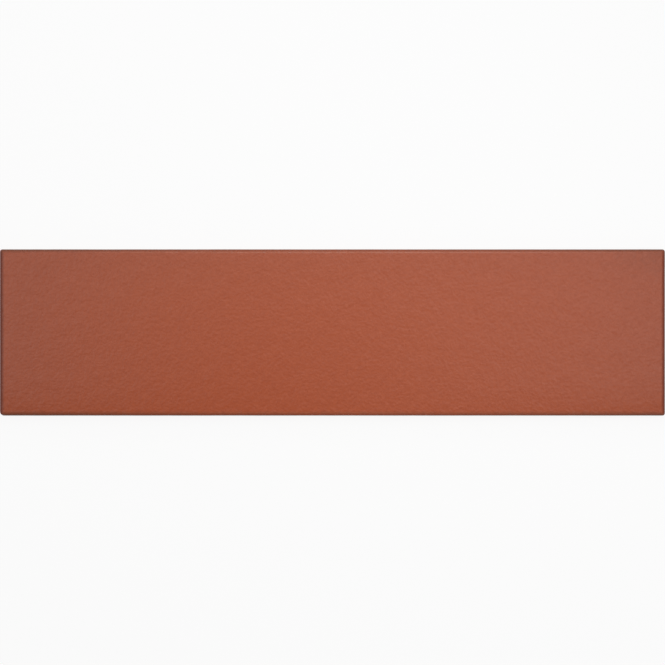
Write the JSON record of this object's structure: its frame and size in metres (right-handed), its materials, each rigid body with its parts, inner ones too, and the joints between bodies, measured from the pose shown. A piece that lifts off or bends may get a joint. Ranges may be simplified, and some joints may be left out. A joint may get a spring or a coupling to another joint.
{
  "type": "wall tile",
  "caption": "Flat oblong fired-clay wall tile with a fine matt face, a rolled face edge, upright sides and a shallow keyed back.",
  "frame": {"origin": "middle of the back, in the plane of the back's lands", "axes": "+X along the tile's length, +Y across its width, +Z out of its face"},
  "size_m": [0.368, 0.092, 0.009],
  "materials": {
    "fired_clay": "matte"
  },
  "bodies": {
    "root": {"wall_tile": "fired_clay"}
  },
  "joints": []
}
